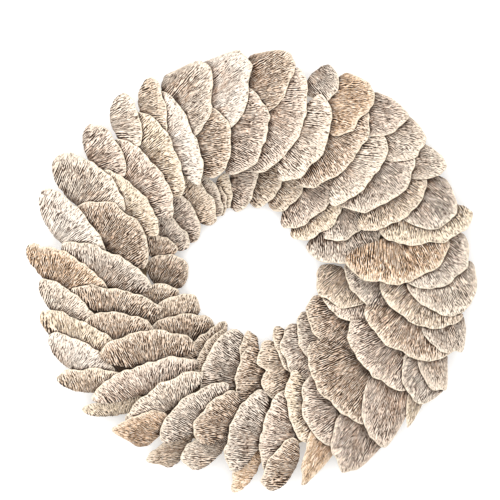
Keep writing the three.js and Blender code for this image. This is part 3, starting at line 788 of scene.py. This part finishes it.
def straw_lines():
    """Centre lines of the straw strands, laid end to end in tracks round the ring."""
    random = np.random.default_rng(SEED)
    around = 2 * math.pi * RING_RADIUS
    tracks = round(STRAW_GIRTH / STRAND_PITCH)
    vertices, edges, widths = [], [], []
    for track in range(tracks):
        start = random.uniform(0, around)
        covered = 0.0
        while covered < around:
            length = random.uniform(*STRAND_LENGTH)
            steps = round(length / STRAND_STEP)
            width = random.uniform(*STRAND_WIDTHS)
            phase = random.uniform(0, 2 * math.pi)
            for k in range(steps + 1):
                angle = (start + covered + length * k / steps) / RING_RADIUS
                bend = math.sin(phase + STRAND_BENDS * k / steps * math.pi)
                share = (track + 0.5) / tracks + STRAND_WANDER * bend / STRAW_GIRTH
                depth = STRAND_RADIUS * STRAND_SINK + groove_dip(angle, share)
                if k:
                    edges.append((len(vertices) - 1, len(vertices)))
                vertices.append(ring_place(angle, share, depth))
                widths.append(width)
            covered += length * STRAND_ADVANCE
    return vertices, edges, widths


def twine_lines():
    """Centre lines of the twine's plies, twisted round the path that it winds in."""
    centres, outwards = [], []
    for k in range(TWINE_STEPS * TWINE_TURNS):
        share = k / TWINE_STEPS % 1
        turn = k // TWINE_STEPS + groove_share(share)
        angle = 2 * math.pi * turn / TWINE_TURNS
        centre = np.array(ring_place(angle, share, TWINE_DEPTH))
        centres.append(centre)
        outwards.append(np.array(ring_place(angle, share, 0)) - centre)
    centres = np.array(centres)
    tangents = np.roll(centres, -1, axis=0) - np.roll(centres, 1, axis=0)
    tangents /= np.linalg.norm(tangents, axis=1)[:, None]
    ups = np.array(outwards)
    ups -= tangents * np.sum(ups * tangents, axis=1)[:, None]
    ups /= np.linalg.norm(ups, axis=1)[:, None]
    sides = np.cross(tangents, ups)

    # The path is closed, so each list ends with its own first row
    centres, ups, sides = [np.vstack([rows, rows[:1]]) for rows in (centres, ups, sides)]
    lengths = running_lengths(centres.T)
    twists = round(lengths[-1] / TWINE_LAY)
    count = twists * LAY_STEPS
    vertices, edges = [], []
    for ply in range(TWINE_PLIES):
        start = len(vertices)
        for k in range(count):
            spin = 2 * math.pi * (k / LAY_STEPS + ply / TWINE_PLIES)
            centre, up, side = [np.array([np.interp(lengths[-1] * k / count, lengths, rows[:, axis])
                                          for axis in range(3)]) for rows in (centres, ups, sides)]
            twist = up * math.cos(spin) + side * math.sin(spin)
            vertices.append(tuple(centre + twist * TWINE_RADIUS * PLY_OFFSET))
        edges += [(start + k, start + (k + 1) % count) for k in range(count)]
    return vertices, edges, [1.0] * len(vertices)


def line_piece(name, lines, tree, values):
    """Strands swept along lines."""
    vertices, edges, widths = lines
    piece = make_piece(name, vertices, [], {"strand_width": widths}, edges)
    run_tree(piece, tree, values)
    return piece


def new_material(name):
    """A new material, with its tree and its shader."""
    material = bpy.data.materials.new(name)
    material.use_nodes = True
    return material, material.node_tree, material.node_tree.nodes["Principled BSDF"]


def attribute(tree, name, output="Fac"):
    """A value or a colour that the mesh carries."""
    return add_node(tree, "ShaderNodeAttribute", attribute_name=name).outputs[output]


def fungus_material():
    """Dried gilled face, pale at the rim, with painted shade in the gill hollows and where neighbouring
    brackets roof it, and a banded felt on the back.
    """
    material, tree, shader = new_material("dried_fungus")
    gap = attribute(tree, "rim_gap")
    place = attribute(tree, "rim_place")
    seed = attribute(tree, "bracket_seed")
    occlusion = attribute(tree, "occlusion")
    # Painted shade in the gill hollows, deeper where the neighbours roof the face
    sunk = product(tree, attribute(tree, "gill_hollow"), smooth_range(tree, occlusion, *HOLLOW_SHADE_BY_OCCLUSION))
    values = {"rim_gap": gap, "occlusion": occlusion, "sunk": sunk}
    for name, (along, inwards, detail) in FACE_PATTERNS.items():
        pattern_place = vector(tree, product(tree, place, along), product(tree, gap, inwards), seed)
        values[name] = noise(tree, pattern_place, 1.0, detail, PATTERN_ROUGHNESS)

    tone = attribute(tree, "tone", "Color")
    colour = mix_colour(tree, AVERAGE_SHARE, tone, linear_colour(AVERAGE_COLOUR))
    blotched = product(tree, smooth_range(tree, gap, *BLOTCH_FADE),
                       smooth_range(tree, values["blotch"], *BLOTCH_RANGE))
    colour = mix_colour(tree, blotched, colour, linear_colour(BLOTCH_COLOUR))
    for name, start, full, share, code in FACE_LAYERS:
        factor = smooth_range(tree, values[name], start, full, 0.0, share)
        colour = mix_colour(tree, factor, colour, linear_colour(code))

    band_place = vector(tree, product(tree, gap, BAND_PITCH[0]), product(tree, place, BAND_PITCH[1]), seed)
    bands = smooth_range(tree, noise(tree, band_place, 1.0), *BAND_RANGE)
    back = mix_colour(tree, bands, *[linear_colour(code) for code in BAND_COLOURS])
    colour = mix_colour(tree, smooth_range(tree, attribute(tree, "gilled"), *BACK_EDGE), colour, back)
    tree.links.new(colour, shader.inputs["Base Color"])
    shader.inputs["Roughness"].default_value = 0.92
    shader.inputs["Specular IOR Level"].default_value = 0.25
    return material


def patchy_colour_group():
    """A shader node group: two colours that pass into each other from place to place."""
    tree = bpy.data.node_groups.new("patchy_colour", "ShaderNodeTree")
    for name, kind in (("Scale", "NodeSocketFloat"), ("Detail", "NodeSocketFloat"),
                       ("Dark", "NodeSocketColor"), ("Light", "NodeSocketColor")):
        tree.interface.new_socket(name, in_out="INPUT", socket_type=kind)
    tree.interface.new_socket("Colour", in_out="OUTPUT", socket_type="NodeSocketColor")
    given = add_node(tree, "NodeGroupInput").outputs
    place = add_node(tree, "ShaderNodeTexCoord").outputs["Object"]
    shade = noise(tree, place, given["Scale"], given["Detail"])
    colour = mix_colour(tree, smooth_range(tree, shade, *PATCH_RANGE), given["Dark"], given["Light"])
    add_node(tree, "NodeGroupOutput", {"Colour": colour})
    return tree


def patchy_colour(tree, group, scale, detail, dark, light):
    """The group's colour in a material."""
    inputs = {"Scale": scale, "Detail": detail, "Dark": linear_colour(dark), "Light": linear_colour(light)}
    return add_node(tree, "ShaderNodeGroup", inputs, node_tree=group).outputs["Colour"]


def straw_material(patchy):
    """Dry straw, paler and darker from strand to strand, and darkened with painted shade where it lies high
    under the brackets.
    """
    material, tree, shader = new_material("dry_straw")
    colour = patchy_colour(tree, patchy, *STRAW_PATCHES)
    place = add_node(tree, "ShaderNodeTexCoord").outputs["Object"]
    height = add_node(tree, "ShaderNodeSeparateXYZ", {0: place}).outputs[2]
    # Painted shade: the straw darkens where it lies high, under the brackets
    colour = mix_colour(tree, smooth_range(tree, height, *STRAW_SHADE_RISE), colour, linear_colour(STRAW_SHADE_COLOUR))
    tree.links.new(colour, shader.inputs["Base Color"])
    shader.inputs["Roughness"].default_value = 0.62
    return material


def twine_material(patchy):
    """Brown jute."""
    material, tree, shader = new_material("jute_twine")
    colour = patchy_colour(tree, patchy, *TWINE_PATCHES)
    tree.links.new(colour, shader.inputs["Base Color"])
    shader.inputs["Roughness"].default_value = 0.9
    return material


def make_brackets(material):
    """One piece for each bracket solid, made of the brackets that its name lists."""
    tree = gill_tree()
    occlusion = occlusion_tree()
    for name, node in sorted(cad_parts.items()):
        if not name.startswith("bracket_"):
            continue
        shells = []
        for member in name.split("_")[1:]:
            bracket = Bracket(member)
            bracket.sit_on(node)
            shells.append(bracket_shell(bracket, occlusion))
        piece = make_piece("fungus_" + name.removeprefix("bracket_"), *join_shells(shells))
        run_tree(piece, tree, {"Material": material})
        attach(piece, "root")
        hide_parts(name)


def make_straw(material, tree):
    """The straw ring: a core and the strands over it, as one piece."""
    strands = line_piece("straw_bundle", straw_lines(), tree,
                         {"Radius": STRAND_RADIUS, "Sides": STRAND_SIDES, "Material": material})
    core = make_piece("straw_core", *ring_core())
    core.data.materials.append(material)
    core.data.shade_smooth()
    with bpy.context.temp_override(active_object=strands, selected_editable_objects=[strands, core]):
        bpy.ops.object.join()
    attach(strands, "root")
    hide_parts("straw_ring")


def make_twine(material, tree):
    """The twine that binds the straw, three plies twisted together."""
    twine = line_piece("twine_plies", twine_lines(), tree,
                       {"Radius": TWINE_RADIUS * PLY_RADIUS, "Sides": PLY_SIDES, "Material": material})
    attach(twine, "root")
    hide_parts("binding_twine")


def make_stage():
    """A pale floor that glows a little, under soft light from all round, seen from straight above."""
    corners = [(x * FLOOR_SIZE, y * FLOOR_SIZE, 0) for x, y in ((-1, -1), (1, -1), (1, 1), (-1, 1))]
    floor = make_piece("floor", corners, [(0, 1, 2, 3)])
    material, _, shader = new_material("pale_floor")
    shader.inputs["Base Color"].default_value = (0.9, 0.9, 0.9, 1)
    shader.inputs["Roughness"].default_value = 0.9
    shader.inputs["Emission Color"].default_value = (1, 1, 1, 1)
    shader.inputs["Emission Strength"].default_value = FLOOR_GLOW
    floor.data.materials.append(material)

    scene = bpy.context.scene
    scene.view_settings.view_transform = "Standard"
    world = bpy.data.worlds.new("studio")
    world.use_nodes = True
    sky = world.node_tree.nodes["Background"]
    sky.inputs["Color"].default_value = SKY_COLOUR
    sky.inputs["Strength"].default_value = SKY_STRENGTH
    scene.world = world
    for name, place, size, power in LAMPS:
        light = bpy.data.lights.new(name, "AREA")
        light.size = size
        light.energy = power
        lamp = bpy.data.objects.new(name, light)
        lamp.location = place
        lamp.rotation_euler = (-lamp.location).to_track_quat("-Z", "Y").to_euler()
        scene.collection.objects.link(lamp)

    camera_data = bpy.data.cameras.new("camera")
    camera_data.sensor_width = SENSOR / MM
    camera_data.lens = SENSOR / MM * CAMERA_HEIGHT / (PHOTO_SIZE * PIXEL)
    camera_data.clip_end = CAMERA_REACH
    camera = bpy.data.objects.new("camera", camera_data)
    middle = PHOTO_SIZE / 2
    x, y = (middle - WREATH_PIXEL[0]) * PIXEL, (WREATH_PIXEL[1] - middle) * PIXEL
    camera.location = (x, y, CAMERA_HEIGHT)
    scene.collection.objects.link(camera)
    scene.camera = camera


make_brackets(fungus_material())
strand_tree = sweep_tree()
patchy_group = patchy_colour_group()
make_straw(straw_material(patchy_group), strand_tree)
make_twine(twine_material(patchy_group), strand_tree)
make_stage()
